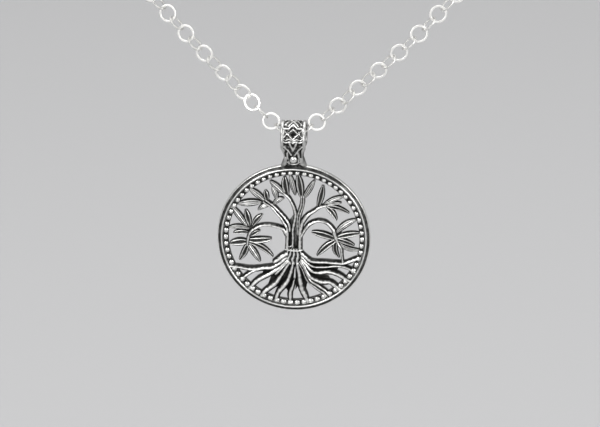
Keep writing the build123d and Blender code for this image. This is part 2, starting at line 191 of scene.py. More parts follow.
# Leaves, in hundredths of the disc's radius from its centre.
# Columns: base u, v, middle u, v, tip u, v, width, kind: 1 has a raised rib, 2 a sunken middle
LEAVES = [
    (-42, 48, -58, 46.5, -73, 45, 9, 1),
    (-38, 50, -46, 57, -58, 66, 8, 1),
    (-34, 50, -36, 57, -37, 64, 7, 2),
    (-29, 45, -38, 43, -47, 37, 6, 1),
    (-27, 44.5, -20, 51.5, -13, 54, 6.5, 1),
    (-22, 52, -24, 60, -28, 69, 7, 1),
    (-12, 59, -20, 67, -31, 77, 8, 1),
    (-8, 57, -11, 68, -12, 83, 9, 2),
    (2, 58, -1, 70, -5, 86, 7, 1),
    (10, 55, 8, 68, 5.5, 86, 10, 2),
    (12, 53, 18, 63, 27, 79, 7, 1),
    (31, 42, 35.5, 58, 38, 72, 8, 2),
    (38, 45, 51, 53, 66, 58, 6, 1),
    (38, 44, 51, 47.5, 62, 49, 5.5, 1),
    (38, 44, 57, 41.5, 72, 35, 6, 2),
    (40, 45, 51, 34, 56, 25, 7, 2),
    (-61, 14, -70, 27, -83, 43, 8, 1),
    (-57, 15, -60, 26, -63, 37, 8, 2),
    (-54, 15, -48, 24, -41, 31, 7, 2),
    (-58, 11, -70, 13.5, -85, 12.5, 6, 1),
    (-59, 6, -69, 6.5, -79, 5, 6.5, 2),
    (-56, 2, -50, 6, -44, 9, 6, 2),
    (-58, -7, -71, -7.5, -84, -9.5, 10, 2),
    (-60, -8, -64.5, -21, -71, -32, 8, 2),
    (-61, -8, -51.5, -22, -44, -34, 8, 1),
    (-61, -7, -43, -13.5, -27, -27, 7, 2),
    (-61, -4, -44, -4.5, -29, -2, 9, 2),
    (54, 7, 66, 18.5, 82, 27, 8, 1),
    (54, 1, 71, 5.5, 87, 8, 8, 2),
    (54, 0, 69, -5, 79, -9, 7, 2),
    (56, -4, 71, -13.5, 88, -15, 6, 1),
    (56, -1, 39, 4.5, 23, 8.5, 9, 2),
    (57, -1, 42, -11.5, 30, -24, 8, 2),
    (56, -1, 53.5, -14, 59, -26, 7, 2),
]

# Trunk and branches. Name, ridges across, then rows of u, v, width
BRANCHES = [
    ("left lower", 1,
     [(-8, 3, 8), (-13.5, 11.5, 6), (-20, 14.8, 5.2), (-29, 16.6, 4.8), (-38, 17, 4.6), (-44, 15.6, 4.6),
      (-50, 12.6, 5), (-55, 9, 5), (-58.6, 3, 5), (-59.8, -4, 5), (-61, -12, 5)]),
    ("left upper below", 1,
     [(-9, -17, 6), (-8.4, -6, 6), (-8.2, 5, 5.8), (-9.4, 14, 5.2), (-12.5, 20, 4.8), (-16.5, 27, 4.6),
      (-22.5, 34, 4.2), (-30, 42.5, 4), (-40, 49, 3)]),
    ("left upper above", 1,
     [(-5.2, 9, 4), (-5.8, 17, 5), (-10, 25, 4.8), (-15.5, 32, 4.4), (-21, 38, 4.4), (-28, 45, 4.2),
      (-37, 51.5, 3)]),
    ("middle left", 1,
     [(-1.6, -13, 4.6), (-1.2, -2, 4.6), (-1.4, 9, 4.8), (0.4, 20, 5.4), (2, 31, 5.4), (0.6, 40, 5),
      (-3, 49, 4.6), (-7, 55.5, 4.5), (-13, 61, 4)]),
    ("middle right", 2,
     [(5.6, 4, 4.6), (5.6, 16, 5.8), (6.2, 27, 6.4), (8.4, 37, 7), (11, 47, 7), (11.5, 58, 5)]),
    ("right upper", 1,
     [(7.6, -16, 7), (8, -4, 6.8), (8.4, 7, 6.4), (9.4, 15, 6.4), (12, 23, 7.4), (18, 31, 6.8),
      (26, 37, 5.5), (34, 43, 5), (44, 46, 4)]),
    ("right lower", 1,
     [(9, 1, 4.6), (11.4, 6, 4.8), (15, 12.5, 5.6), (21, 19.5, 6), (31, 24, 5.5), (42, 22, 5.5),
      (51, 13, 6), (54, 4, 6.5), (57, -5, 5), (62, -14, 4.5), (63, -24, 4), (64, -34, 4)]),
    ("knot", 1,
     [(-9, -9, 2.6), (-6, -11.6, 2.6), (-3, -10.4, 2.8), (-1.4, -7, 2.6)]),
    ("waist", 1,
     [(-11.5, -15.6, 4.5), (-5, -16.4, 4.5), (1, -17, 4.5), (6, -16.8, 4.5), (11.5, -15.6, 4.5)]),
]

# Roots. Name, ridges across, then rows of u, v, width
ROOTS = [
    ("crown", 5,
     [(0, -14, 18), (0, -20, 23), (0, -28, 30), (0, -36, 24)]),
    ("left bar", 1,
     [(-8, -21, 9), (-12, -24, 9.5), (-19, -29, 9), (-27, -34.5, 6.5)]),
    ("left first", 1,
     [(-9, -27, 6), (-12.5, -30, 6.5), (-19, -35.5, 7), (-28, -40.5, 8), (-40, -42.5, 8.5),
      (-52, -44, 8), (-63, -43, 7), (-74, -41.2, 6), (-84.5, -40.5, 6)]),
    ("left first fork", 1,
     [(-42, -43, 5), (-53, -46.5, 5.5), (-62, -52.5, 5.5), (-70, -59.5, 5)]),
    ("left second", 1,
     [(-8, -30, 6), (-17, -39.5, 7.5), (-31, -50, 8), (-45, -57.5, 8.5), (-55, -67, 7.5),
      (-59, -72, 6)]),
    ("left short", 1,
     [(-6, -31, 5), (-13, -38, 5.5), (-19, -45, 6), (-24.5, -50.5, 5)]),
    ("left third", 1,
     [(-5, -32, 5), (-10, -40.5, 6), (-18, -54, 8), (-26, -64.5, 9.5), (-36, -73, 8.5), (-44, -81, 7)]),
    ("left fourth", 1,
     [(-1, -33, 5.5), (-2.5, -42, 7), (-6.5, -55, 8.5), (-13, -66, 9.5), (-20, -75, 8.5),
      (-24, -86, 6)]),
    ("middle", 1,
     [(0.6, -57, 3), (-1.5, -66.5, 6), (-5, -77, 8), (-4, -89, 5)]),
    ("right fourth", 1,
     [(4, -33, 6), (6, -44, 7.5), (8, -58, 9), (10.8, -70, 10), (15, -80, 8.5), (19, -89, 6)]),
    ("right third", 2,
     [(6.6, -32, 5), (12, -42, 6), (19, -57, 7.5), (30, -66, 9), (41, -74, 9), (47, -80, 7)]),
    ("right second", 1,
     [(9, -31, 5), (14, -39, 5.5), (19, -50, 7), (27, -56, 8), (38, -60, 9), (48, -60, 8),
      (57, -67.5, 8), (61, -71, 6.5)]),
    ("right inner", 1,
     [(9, -29, 6), (15.5, -36, 6), (22.5, -44, 6.5), (32, -47, 7.5), (45, -45.5, 8.5), (56, -48, 8),
      (67, -54.5, 7), (74, -58.5, 6)]),
    ("right first", 1,
     [(9, -20, 7), (15, -26, 7), (24, -31.5, 6.5), (40, -32.3, 6.5), (55, -33, 6.5), (67, -33, 6.5),
      (78, -28.6, 6.5), (88, -24.5, 6)]),
    ("right first fork", 1,
     [(10, -25, 5.5), (17, -33, 5.5), (26, -38.4, 5), (40, -38.8, 4.5), (55, -37, 5), (66, -38.4, 5.5),
      (75, -42, 5.5), (80.5, -46, 5)]),
]

# Sunk metal between the strands, painted dark for the shade that falls between them as well as for its
# oxide. Columns: relief, then rows of points round each web: u, v
SHADED_WEBS = [
    (0.24, [(-10, -17), (-9.6, -5), (-10.4, 5), (-8, 20), (-4, 26), (2, 34), (6, 34), (9, 26),
            (13.4, 26), (10.4, 16), (9.6, 4), (9, -17)]),
    (0.16, [(-6, -20), (-22, -38), (-40, -44), (-42, -54), (-30, -54), (-35, -68), (-23, -69),
            (-14, -64), (-8, -74), (-1, -62), (2, -30)]),
    (0.16, [(2, -30), (2, -72), (8, -62), (15, -74), (18, -60), (36, -58), (49, -58), (45, -52),
            (30, -50), (56, -44), (60, -37), (24, -33), (9, -20)]),
    (0.2, [(-30, 47), (-36, 54), (-45, 51), (-44, 45)]),
    (0.2, [(-12, 58), (-17, 64), (-10, 70), (-6, 63)]),
    (0.2, [(38, 45), (43, 51), (51, 49), (50, 44)]),
    (0.2, [(-58, 4), (-65, 12), (-60, 20), (-53, 17), (-50, 7)]),
    (0.2, [(56, 8), (60, 12), (65, 6), (62, -7), (54, -4)]),
]

# The bail's raised lines. Columns: height, half width, then points of x and the way up along the
# front. Those of the first table stand on both sides.
BAIL_PAIRS = [
    (0.11, 0.12, [(-1.62, 2.0), (-1.0, 1.3), (-1.62, 0.62)]),
    (0.11, 0.11, [(-1.5, 3.0), (-0.5, 4.5), (0.1, 5.4)]),
    (0.11, 0.11, [(-0.9, 2.7), (-0.1, 3.9), (0.9, 5.4)]),
    (0.11, 0.11, [(-1.5, 4.5), (-0.8, 5.4)]),
    (0.13, 0.2, [(-0.62, -0.3), (-0.3, -1.2), (0, -1.95)]),
    (0.13, 0.17, [(-1.6, -1.1), (-0.9, -1.9), (-0.35, -2.9)]),
]
BAIL_LINES = [
    (0.15, 0.17, [(-2.1, 2.24), (-0.75, 2.24), (0, 3.15), (0.75, 2.24), (2.1, 2.24)]),
    (0.13, 0.14, [(0, 2.12), (-0.92, 1.2), (0, 0.28), (0.92, 1.2), (0, 2.12)]),
    (0.12, 0.12, [(-1.9, 0.5), (-1.3, 0.12), (-0.65, 0.35), (0, 0.0), (0.65, 0.35), (1.3, 0.12),
                  (1.9, 0.5)]),
    (0.14, 0.15, [(-1.9, 0.0), (-1.2, -0.3), (-0.5, -0.1), (0, -0.35), (0.5, -0.1), (1.2, -0.3),
                  (1.9, 0.0)]),
    (0.12, 0.12, [(-1.0, -2.4), (-0.95, -3.6), (-0.75, -4.5)]),
    (0.12, 0.12, [(0.8, -2.4), (1.0, -3.6), (0.85, -4.5)]),
    (0.1, 0.14, [(-1.1, -4.5), (-0.5, -4.95), (0, -5.05), (0.5, -4.95), (1.1, -4.5)]),
]

# The bail's pits. Columns: depth, half width, then points of x and the way up along the front
BAIL_PITS = [
    (0.2, 0.26, [(-1.35, -0.7), (-0.9, -0.85)]),
    (0.2, 0.26, [(1.35, -0.7), (0.9, -0.85)]),
    (0.2, 0.17, [(-1.38, -2.3), (-1.32, -3.3)]),
    (0.2, 0.17, [(1.3, -1.9), (1.3, -3.5)]),
    (0.14, 0.14, [(-0.55, -3.35), (-0.75, -4.1)]),
    (0.14, 0.14, [(0.5, -3.1), (0.62, -3.3)]),
    (0.12, 0.1, [(0, -0.75), (0, -1.0)]),
]


def between(before, start, end, after, share):
    """A number a share of the way from start to end, on a smooth curve through all four."""
    bend = 2 * before - 5 * start + 4 * end - after
    turn = 3 * (start - end) + after - before
    return start + share * (end - before + share * (bend + share * turn)) / 2


def smooth(rows, steps):
    """The rows of a table as an array, with more worked out between them."""
    rows = np.array(rows, float)
    finer = []
    for i in range(len(rows) - 1):
        before, after = rows[max(i - 1, 0)], rows[min(i + 2, len(rows) - 1)]
        for k in range(steps):
            finer.append(between(before, rows[i], rows[i + 1], after, k / steps))
    finer.append(rows[-1])
    return np.array(finer)


def ease(low, high, value):
    """0 below low, 1 above high, with a soft change between them."""
    share = np.clip((value - low) / (high - low), 0, 1)
    return share * share * (3 - 2 * share)


def waver(phase, along):
    """A slight unevenness, as a hand-carved model has."""
    return 0.6 * np.sin(2.3 * along + phase) + 0.4 * np.sin(5.1 * along + 2.7 * phase)


def hump(place, middle, width):
    """1 at the middle, falling away softly on both sides."""
    return np.exp(-((place - middle) / width) ** 2)


def dome_over(apart):
    """The height of a round top, from the share of its radius that a place lies away."""
    return np.sqrt(np.clip(1 - apart ** 2, 0, 1))


class Shape:
    """Points, faces and the relief at each point: 0 in a recess, 1 on a polished edge. On the rim, the
    webs and the chain it also holds painted shade and reflection.
    """

    def __init__(self):
        self.points = []
        self.relief_and_shade = []
        self.faces = []
        self.count = 0

    def grid(self, points, relief_and_shade, wrap_rows=False, wrap_columns=False):
        """Adds a grid of points joined by faces, and returns its point numbers."""
        rows, columns = points.shape[:2]
        numbers = np.arange(rows * columns).reshape(rows, columns) + self.count
        self.points.append(points.reshape(-1, 3))
        self.relief_and_shade.append(np.broadcast_to(relief_and_shade, (rows, columns)).reshape(-1))
        self.count += rows * columns
        self.join(numbers, wrap_rows, wrap_columns)
        return numbers

    def join(self, numbers, wrap_rows=False, wrap_columns=False):
        """Adds the faces between the rows and columns of a table of point numbers."""
        if wrap_rows:
            numbers = np.vstack([numbers, numbers[:1]])
        if wrap_columns:
            numbers = np.hstack([numbers, numbers[:, :1]])
        corners = [numbers[:-1, :-1], numbers[1:, :-1], numbers[1:, 1:], numbers[:-1, 1:]]
        self.faces.append(np.stack(corners, axis=-1).reshape(-1, 4))

    def cap(self, numbers):
        """Closes the first and the last row of a grid with a face each."""
        self.faces += [[tuple(numbers[0])], [tuple(numbers[-1][::-1])]]

    def slab(self, front, relief_and_shade, back):
        """Adds a closed slab between two grids of the same size."""
        top = self.grid(front, relief_and_shade)
        low = self.grid(back, BACK_RELIEF)
        border = [np.concatenate([n[0, :], n[1:, -1], n[-1, -2::-1], n[-2:0:-1, 0]]) for n in (top, low)]
        self.join(np.array(border), wrap_columns=True)

    def build(self, name, body, node, material):
        """Makes the object and hangs it on its body in place of a node."""
        points = ((np.concatenate(self.points) + HINGE) * MM).tolist()
        faces = [tuple(face) for table in self.faces for face in table]
        relief_and_shade = np.concatenate(self.relief_and_shade)
        return add_piece(name, points, faces, relief_and_shade, body, node, material)

    def cast(self, name):
        """Makes the object as a piece of the casting."""
        return self.build(name, "pendant", "pendant", casting_material())


def add_piece(name, points, faces, relief_and_shade, body, node, material):
    """Makes an object that carries its relief, with any painted shade in it, and hangs it on its body in
    place of a node.
    """
    mesh = bpy.data.meshes.new(name)
    mesh.from_pydata(points, [], faces)
    mesh.attributes.new("relief_and_shade", "FLOAT", "POINT").data.foreach_set("value", relief_and_shade)
    work = bmesh.new()
    work.from_mesh(mesh)
    bmesh.ops.recalc_face_normals(work, faces=work.faces)
    work.to_mesh(mesh)
    work.free()
    mesh.polygons.foreach_set("use_smooth", np.ones(len(mesh.polygons), bool))
    mesh.update()
    piece = bpy.data.objects.new(name, mesh)
    bpy.context.scene.collection.objects.link(piece)
    mesh.materials.append(material)
    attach(piece, body)
    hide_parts(node)
    return piece


def disc_points(flat, forward):
    """Points in the hinge's frame, from places on the disc and heights forward of its middle plane."""
    forward = np.broadcast_to(forward, flat.shape[:-1])
    return np.stack([flat[..., 0], -forward, flat[..., 1]], axis=-1) + DISC_CENTRE


def arc(start, middle, end, count):
    """Points on the arc of a circle through three points."""
    a, b, c = (np.array(p, float) for p in (start, middle, end))
    ab, ac = b - a, c - a
    cross = 2 * (ab[0] * ac[1] - ab[1] * ac[0])
    shares = np.linspace(0, 1, count)[:, None]
    if abs(cross) < 1e-6:
        return a + (c - a) * shares
    aside = np.array((ac[1] * (ab @ ab) - ab[1] * (ac @ ac), ab[0] * (ac @ ac) - ac[0] * (ab @ ab)))
    centre = a + aside / cross
    angles = [math.atan2(p[1] - centre[1], p[0] - centre[0]) for p in (a, b, c)]
    full = 2 * math.pi
    first, last = (angles[1] - angles[0]) % full, (angles[2] - angles[0]) % full
    sweep = last if first < last else last - full
    turned = angles[0] + sweep * shares
    return centre + np.linalg.norm(a - centre) * np.hstack([np.cos(turned), np.sin(turned)])


def shader_group(name, inputs, outputs):
    """A new shader node group with named sockets, and its two end nodes."""
    tree = bpy.data.node_groups.new(name, "ShaderNodeTree")
    for socket, kind, default in inputs:
        item = tree.interface.new_socket(socket, in_out="INPUT", socket_type=kind)
        item.default_value = default
    for socket, kind in outputs:
        tree.interface.new_socket(socket, in_out="OUTPUT", socket_type=kind)
    return tree, tree.nodes.new("NodeGroupInput"), tree.nodes.new("NodeGroupOutput")


def add_node(tree, kind, place, inputs=(), **properties):
    """Adds a node, sets its properties, and links its inputs to sockets or sets them to values."""
    node = tree.nodes.new(kind)
    node.location = place
    for name, value in properties.items():
        setattr(node, name, value)
    for socket, source in inputs:
        if isinstance(source, bpy.types.NodeSocket):
            tree.links.new(source, node.inputs[socket])
        else:
            node.inputs[socket].default_value = source
    return node


def add_noise(tree, place, vector, scale, detail):
    """Adds a noise of a scale and a detail, and returns its value."""
    noise = add_node(tree, "ShaderNodeTexNoise", place,
                     [("Vector", vector), ("Scale", scale), ("Detail", detail)])
    return noise.outputs["Fac"]


def add_math(tree, place, operation, *values):
    """Adds a math node that works on values, and returns its result."""
    return add_node(tree, "ShaderNodeMath", place, enumerate(values), operation=operation).outputs[0]


def add_range(tree, place, value, start, end, low, high, kind="LINEAR"):
    """Adds a node that takes a value from the range start to end to that of low to high."""
    inputs = [("Value", value), ("From Min", start), ("From Max", end),
              ("To Min", low), ("To Max", high)]
    return add_node(tree, "ShaderNodeMapRange", place, inputs, interpolation_type=kind).outputs[0]


def tarnish_and_shade_group():
    """Cast silver's look: dark where it is sunk and where painted shade is stored with the relief,
    bright where it has been rubbed, finely scratched.
    """
    tree, start, end = shader_group(
        "cast silver tarnish",
        [("Relief and shade", "NodeSocketFloat", 1.0), ("Tarnish and shade", "NodeSocketFloat", 0.8),
         ("Silver", "NodeSocketColor", (0.9, 0.9, 0.88, 1)),
         ("Oxide and shade", "NodeSocketColor", (0.02, 0.02, 0.02, 1)),
         ("Polished roughness", "NodeSocketFloat", 0.2), ("Dark roughness", "NodeSocketFloat", 0.5),
         ("Grain", "NodeSocketFloat", 1.0)],
        [("Color", "NodeSocketColor"), ("Roughness", "NodeSocketFloat"), ("Height", "NodeSocketFloat")],
    )
    place = add_node(tree, "ShaderNodeTexCoord", (-1200, -200)).outputs["Object"]
    cloud = add_noise(tree, (-1000, 100), place, CLOUD_SCALE, 4)
    grain = add_noise(tree, (-1000, -200), place, GRAIN_SCALE, 5)
    stretched = add_node(tree, "ShaderNodeMapping", (-1000, -500),
                         [("Vector", place), ("Rotation", (0.3, 0.8, 0.5)), ("Scale", SCRATCH_STRETCH)])
    scratch = add_noise(tree, (-800, -500), stretched.outputs[0], SCRATCH_SCALE, 3)
    # The metal is worn where its relief, made uneven, is high. Where painted shade has lowered that
    # value, the colour is painted dark as shade.
    spread = add_range(tree, (-800, 100), cloud, 0, 1, -UNEVENNESS, UNEVENNESS)
    uneven = add_math(tree, (-600, 100), "ADD", start.outputs["Relief and shade"], spread)
    worn = add_range(tree, (-400, 100), uneven, DARK_BELOW, BRIGHT_ABOVE, 0, 1, "SMOOTHSTEP")
    dull = add_math(tree, (-200, 200), "SUBTRACT", 1.0, worn)
    dark = add_math(tree, (0, 200), "MULTIPLY", dull, start.outputs["Tarnish and shade"])
    # Sockets 6 and 7 of a colour mix are its two colours, and its output 2 is the mix.
    color = add_node(tree, "ShaderNodeMix", (200, 200),
                     [(0, dark), (6, start.outputs["Silver"]), (7, start.outputs["Oxide and shade"])],
                     data_type="RGBA")
    rough = add_range(tree, (200, -50), dark, 0, 1, start.outputs["Polished roughness"],
                      start.outputs["Dark roughness"])
    mottled = add_range(tree, (200, -300), scratch, 0, 1, *MOTTLE)
    gloss = add_math(tree, (400, -50), "ADD", rough, mottled)
    pitted = add_math(tree, (400, -300), "MULTIPLY", grain, start.outputs["Grain"])
    lined = add_math(tree, (600, -300), "MULTIPLY_ADD", scratch, SCRATCH_DEPTH, pitted)
    tree.links.new(color.outputs[2], end.inputs["Color"])
    tree.links.new(gloss, end.inputs["Roughness"])
    tree.links.new(lined, end.inputs["Height"])
    return tree


def silver_material(name, silver, tarnish_and_shade, finish):
    """A silver whose darkening follows the relief of the surface that wears it, painted shade included,
    made once.
    """
    if name in bpy.data.materials:
        return bpy.data.materials[name]
    polish, grain, depth = finish
    material = bpy.data.materials.new(name)
    material.use_nodes = True
    tree = material.node_tree
    shader = tree.nodes["Principled BSDF"]
    shader.inputs["Metallic"].default_value = 1.0
    relief_and_shade = add_node(tree, "ShaderNodeAttribute", (-900, 0), attribute_name="relief_and_shade")
    oxide_and_shade = bpy.context.scene.tree_pendant.oxide_and_shade
    look = add_node(tree, "ShaderNodeGroup", (-600, 0),
                    [("Relief and shade", relief_and_shade.outputs["Fac"]), ("Tarnish and shade", tarnish_and_shade), ("Silver", (*silver, 1)),
                     ("Oxide and shade", (*oxide_and_shade, 1)), ("Polished roughness", polish), ("Grain", grain)],
                    node_tree=bpy.data.node_groups.get("cast silver tarnish") or tarnish_and_shade_group())
    dent = add_node(tree, "ShaderNodeBump", (-300, -200),
                    [("Height", look.outputs["Height"]), ("Strength", 0.5), ("Distance", depth)])
    tree.links.new(look.outputs["Color"], shader.inputs["Base Color"])
    tree.links.new(look.outputs["Roughness"], shader.inputs["Roughness"])
    tree.links.new(dent.outputs["Normal"], shader.inputs["Normal"])
    return material


def casting_material():
    """The oxidised silver of the casting."""
    settings = bpy.context.scene.tree_pendant
    return silver_material("oxidised silver", settings.silver, settings.tarnish_and_shade, CAST_FINISH)


def chain_material():
    """The bright silver of the chain, its rings and its clasp."""
    settings = bpy.context.scene.tree_pendant
    return silver_material("bright silver", settings.chain_silver, CHAIN_PAINTED_SHADE, CHAIN_FINISH)


class PendantSettings(bpy.types.PropertyGroup):
    """Sizes and colours that a user would change."""

    silver: FloatVectorProperty(
        name="Cast silver", description="Colour of the casting's polished edges",
        subtype="COLOR", default=(0.73, 0.73, 0.715), min=0, max=1)
    oxide_and_shade: FloatVectorProperty(
        name="Oxide and shade", description="Colour of the darkened recesses",
        subtype="COLOR", default=(0.016, 0.016, 0.015), min=0, max=1)
    chain_silver: FloatVectorProperty(
        name="Chain silver", description="Colour of the chain and its clasp",
        subtype="COLOR", default=(0.97, 0.965, 0.94), min=0, max=1)
    floor: FloatVectorProperty(
        name="Floor", description="Colour of the floor",
        subtype="COLOR", default=(0.455, 0.455, 0.46), min=0, max=1)
    tarnish_and_shade: FloatProperty(
        name="Tarnish and shade", description="How dark the casting's recesses are",
        subtype="FACTOR", default=0.97, min=0, max=1)
    bead: FloatProperty(
        name="Bead", description="Diameter of the border's beads",
        unit="LENGTH", default=1.02 * MM, min=0.4 * MM, max=1.2 * MM)
    beads: IntProperty(
        name="Beads", description="How many beads stand round the border",
        default=62, min=20, max=90)
    link_wire: FloatProperty(
        name="Link wire", description="Width of a link's flat wire",
        unit="LENGTH", default=0.37 * MM, min=0.1 * MM, max=0.38 * MM)
    carving: FloatProperty(
        name="Carving", description="How deep the bail's ornament is cut",
        subtype="FACTOR", default=1.0, min=0, max=1)


class PENDANT_OT_rim(bpy.types.Operator):
    """Adds the polished rim and the ledge inside it"""

    bl_idname = "tree_pendant.rim"
    bl_label = "Rim"

    def execute(self, context):
        shape = Shape()
        angles = np.linspace(0, 2 * math.pi, RIM_STEPS, endpoint=False)
        around = np.stack([np.cos(angles), np.sin(angles)], axis=-1)
        for section in (RIM_SECTION, LEDGE_SECTION):
            radius, forward, relief_and_shade = np.array(section).T[:, :, None]
            points = disc_points(radius[..., None] * around[None], forward)
            shape.grid(points, relief_and_shade, wrap_rows=True, wrap_columns=True)
        shape.cast("rim")
        return {"FINISHED"}


class PENDANT_OT_beads(bpy.types.Operator):
    """Adds the row of beads inside the rim"""

    bl_idname = "tree_pendant.beads"
    bl_label = "Beads"

    def execute(self, context):
        settings = context.scene.tree_pendant
        radius = settings.bead / MM / 2
        shape = Shape()
        stacks = np.linspace(BEAD_POLE, math.pi - BEAD_POLE, BEAD_STACKS)[:, None]
        turns = np.linspace(0, 2 * math.pi, BEAD_TURNS, endpoint=False)
        ball = np.stack([np.sin(stacks) * np.cos(turns), np.sin(stacks) * np.sin(turns),
                         np.cos(stacks) * np.ones(BEAD_TURNS)], axis=-1)
        for i in range(settings.beads):
            angle = 2 * math.pi * i / settings.beads
            across = np.array((math.cos(angle), math.sin(angle)))
            along = np.array((-across[1], across[0]))
            uneven = 1 + BEAD_UNEVENNESS * waver(i, 1.7 * i)
            # The beads at the bottom are larger and flatter than those at the top.
            low = 0.5 - 0.5 * across[1]
            size = radius * np.array(((1 + 0.08 * low) * uneven, 0.88 + 0.08 * low, 0.95))
            flat = (BEAD_ROW + ball[..., 0:1] * size[1]) * across + ball[..., 1:2] * size[0] * along
            forward = BEAD_HEIGHT + ball[..., 2] * size[2]
            relief_and_shade = 0.9 * ease(0.4 - 0.3 * low, 1.0 - 0.2 * low, ball[..., 2])
            shape.cap(shape.grid(disc_points(flat, forward), relief_and_shade, wrap_columns=True))
        shape.cast("beads")
        return {"FINISHED"}


class PENDANT_OT_leaves(bpy.types.Operator):
    """Adds the leaves, each with its border and its rib or hollow"""

    bl_idname = "tree_pendant.leaves"
    bl_label = "Leaves"

    def execute(self, context):
        shape = Shape()
        across = LEAF_ACROSS
        border = hump(np.abs(across), LEAF_BORDER, LEAF_BORDER_WIDTH)[None]
        rib = hump(across, 0, LEAF_RIB_WIDTH)[None]
        outline = ease(0.86, 0.62, np.abs(across))[None]
        shares = np.linspace(0.04, 0.96, LEAF_STEPS)
        swell = np.sin(shares * math.pi)[:, None] ** LEAF_FULLNESS
        for i, (*places, width, kind) in enumerate(LEAVES):
            base, middle, tip = np.array(places, float).reshape(3, 2) * DISC_RADIUS / 100
            aim = (tip - base) / np.linalg.norm(tip - base)
            aside = np.array((-aim[1], aim[0])) * width * DISC_RADIUS / 200
            spine = arc(base, middle, tip, LEAF_STEPS)
            flat = spine[:, None] + aside * (LEAF_BROADER * swell * across[None])[..., None]
            if kind == RIBBED:
                forward = 0.32 + swell * (0.12 * border + 0.26 * rib)
                relief_and_shade = 0.2 + 0.6 * rib + 0.4 * border
            else:
                forward = 0.36 + swell * (0.18 * border - 0.16 * (1 - border))
                relief_and_shade = 0.12 + 0.75 * border
            relief_and_shade = relief_and_shade + 0.05 * waver(2 * i, flat[..., 0] * 2 + flat[..., 1])
            relief_and_shade = np.clip(relief_and_shade, 0, 1) * outline
            forward = forward + 0.02 * waver(i, across[None] * 2 + flat[..., 0]) - 0.16 * (1 - outline)
            back = disc_points(flat, -TREE_BACK + LEAF_INSET + BACK_STAGGER * i)
            shape.slab(disc_points(flat, forward), relief_and_shade, back)
        shape.cast("leaves")
        return {"FINISHED"}


def carve_strand(shape, rows, ridges, phase, creases):
    """Adds one strand, rounded and creased along its length."""
    rows = smooth(rows, STRAND_STEPS)
    points = rows[:, :2] * DISC_RADIUS / 100
    along = np.gradient(points, axis=0)
    along /= np.linalg.norm(along, axis=1)[:, None]
    aside = np.stack([-along[:, 1], along[:, 0]], axis=-1)
    travelled = np.concatenate([[0], np.cumsum(np.linalg.norm(np.diff(points, axis=0), axis=1))])
    half = rows[:, 2] * DISC_RADIUS / 200 * (1 + 0.05 * waver(phase, travelled))
    half[[0, -1]] *= 0.8
    across = np.sin(np.linspace(-0.5, 0.5, 7 + 6 * ridges) * math.pi)
    flat = points[:, None] + aside[:, None] * (half[:, None] * across[None])[..., None]
    dome = dome_over(across)
    wander = 0.12 * waver(phase + 1, travelled / 1.6)[:, None]
    crest = np.abs(np.sin(math.pi * ridges * (across[None] + wander + 1) / 2))
    drop = np.zeros((len(rows), 1))
    drop[[0, -1]] = STRAND_DROP
    swell = dome * (STRAND_DOME + STRAND_CREST * crest ** 0.8)
    forward = STRAND_HEIGHT + swell - drop + 0.02 * waver(phase, travelled)[:, None]
    edge = ease(0.35, 0.65, dome)
    worn = 0.16 * waver(phase + 2, 3.4 * travelled)[:, None]
    relief_and_shade = edge * (creases + (0.68 - creases) * ease(0.5, 1.0, crest) + worn)
    back = disc_points(flat, -TREE_BACK + BACK_STAGGER * phase)
    shape.slab(disc_points(flat, forward), relief_and_shade, back)


def cast_strands(name, table, first, step, creases):
    """Makes the strands of a table as one piece of the casting."""
    shape = Shape()
    for i, (_, ridges, rows) in enumerate(table):
        carve_strand(shape, rows, ridges, step * i + first, creases)
    shape.cast(name)


class PENDANT_OT_branches(bpy.types.Operator):
    """Adds the trunk's strands, the branches and the twigs"""

    bl_idname = "tree_pendant.branches"
    bl_label = "Trunk and branches"

    def execute(self, context):
        cast_strands("branches", BRANCHES, 0, 1.3, 0.2)
        return {"FINISHED"}


class PENDANT_OT_roots(bpy.types.Operator):
    """Adds the roots"""

    bl_idname = "tree_pendant.roots"
    bl_label = "Roots"

    def execute(self, context):
        cast_strands("roots", ROOTS, 4, 0.9, 0.05)
        return {"FINISHED"}


class PENDANT_OT_webs(bpy.types.Operator):
    """Adds the sunk metal between the strands, painted dark as shade"""

    bl_idname = "tree_pendant.webs"
    bl_label = "Webs"

    def execute(self, context):
        shape = Shape()
        for i, (level, corners) in enumerate(SHADED_WEBS):
            flat = np.array(corners, float) * DISC_RADIUS / 100
            front = disc_points(flat, WEB_HEIGHT)
            back = disc_points(flat, -TREE_BACK + WEB_INSET + BACK_STAGGER * i)
            # Painted shade: the fronts take a low relief, so they are painted nearly as dark as the
            # oxide.
            relief_and_shade = np.array([[level], [0.5]])
            shape.cap(shape.grid(np.stack([front, back]), relief_and_shade, wrap_columns=True))
        shape.cast("webs")
        return {"FINISHED"}


def bail_loop(radius, toe_radius, depth):
    """A closed line round the bail's section, from the front's middle height up and over.

    Returns the points as y and z, and the outward directions."""
    def outward(angle):
        """The direction outward at an angle up from the front."""
        return np.stack([-np.cos(angle), np.sin(angle)], axis=-1)

    def straight(start, end, out, count):
        """Points from start towards end, and their outward directions."""
        return np.linspace(start, end, count, endpoint=False), np.repeat(out[None], count, axis=0)

    front, over, back, toe = BAIL_STEPS
    turn = math.asin((radius - toe_radius) / depth)
    over_out = outward(np.linspace(-turn, math.pi + turn, over, endpoint=False))
    toe_out = outward(np.linspace(math.pi + turn, 2 * math.pi - turn, toe, endpoint=False))
    runs = [(radius * over_out, over_out)]
    out = outward(math.pi + turn)
    runs.append(straight(radius * out, toe_radius * out - (0, depth), out, back))
    runs.append((toe_radius * toe_out - (0, depth), toe_out))
    out = outward(-turn)
    runs.append(straight(toe_radius * out - (0, depth), radius * out, out, front))
    points, outs = zip(*runs)
    return np.concatenate(points), np.concatenate(outs)


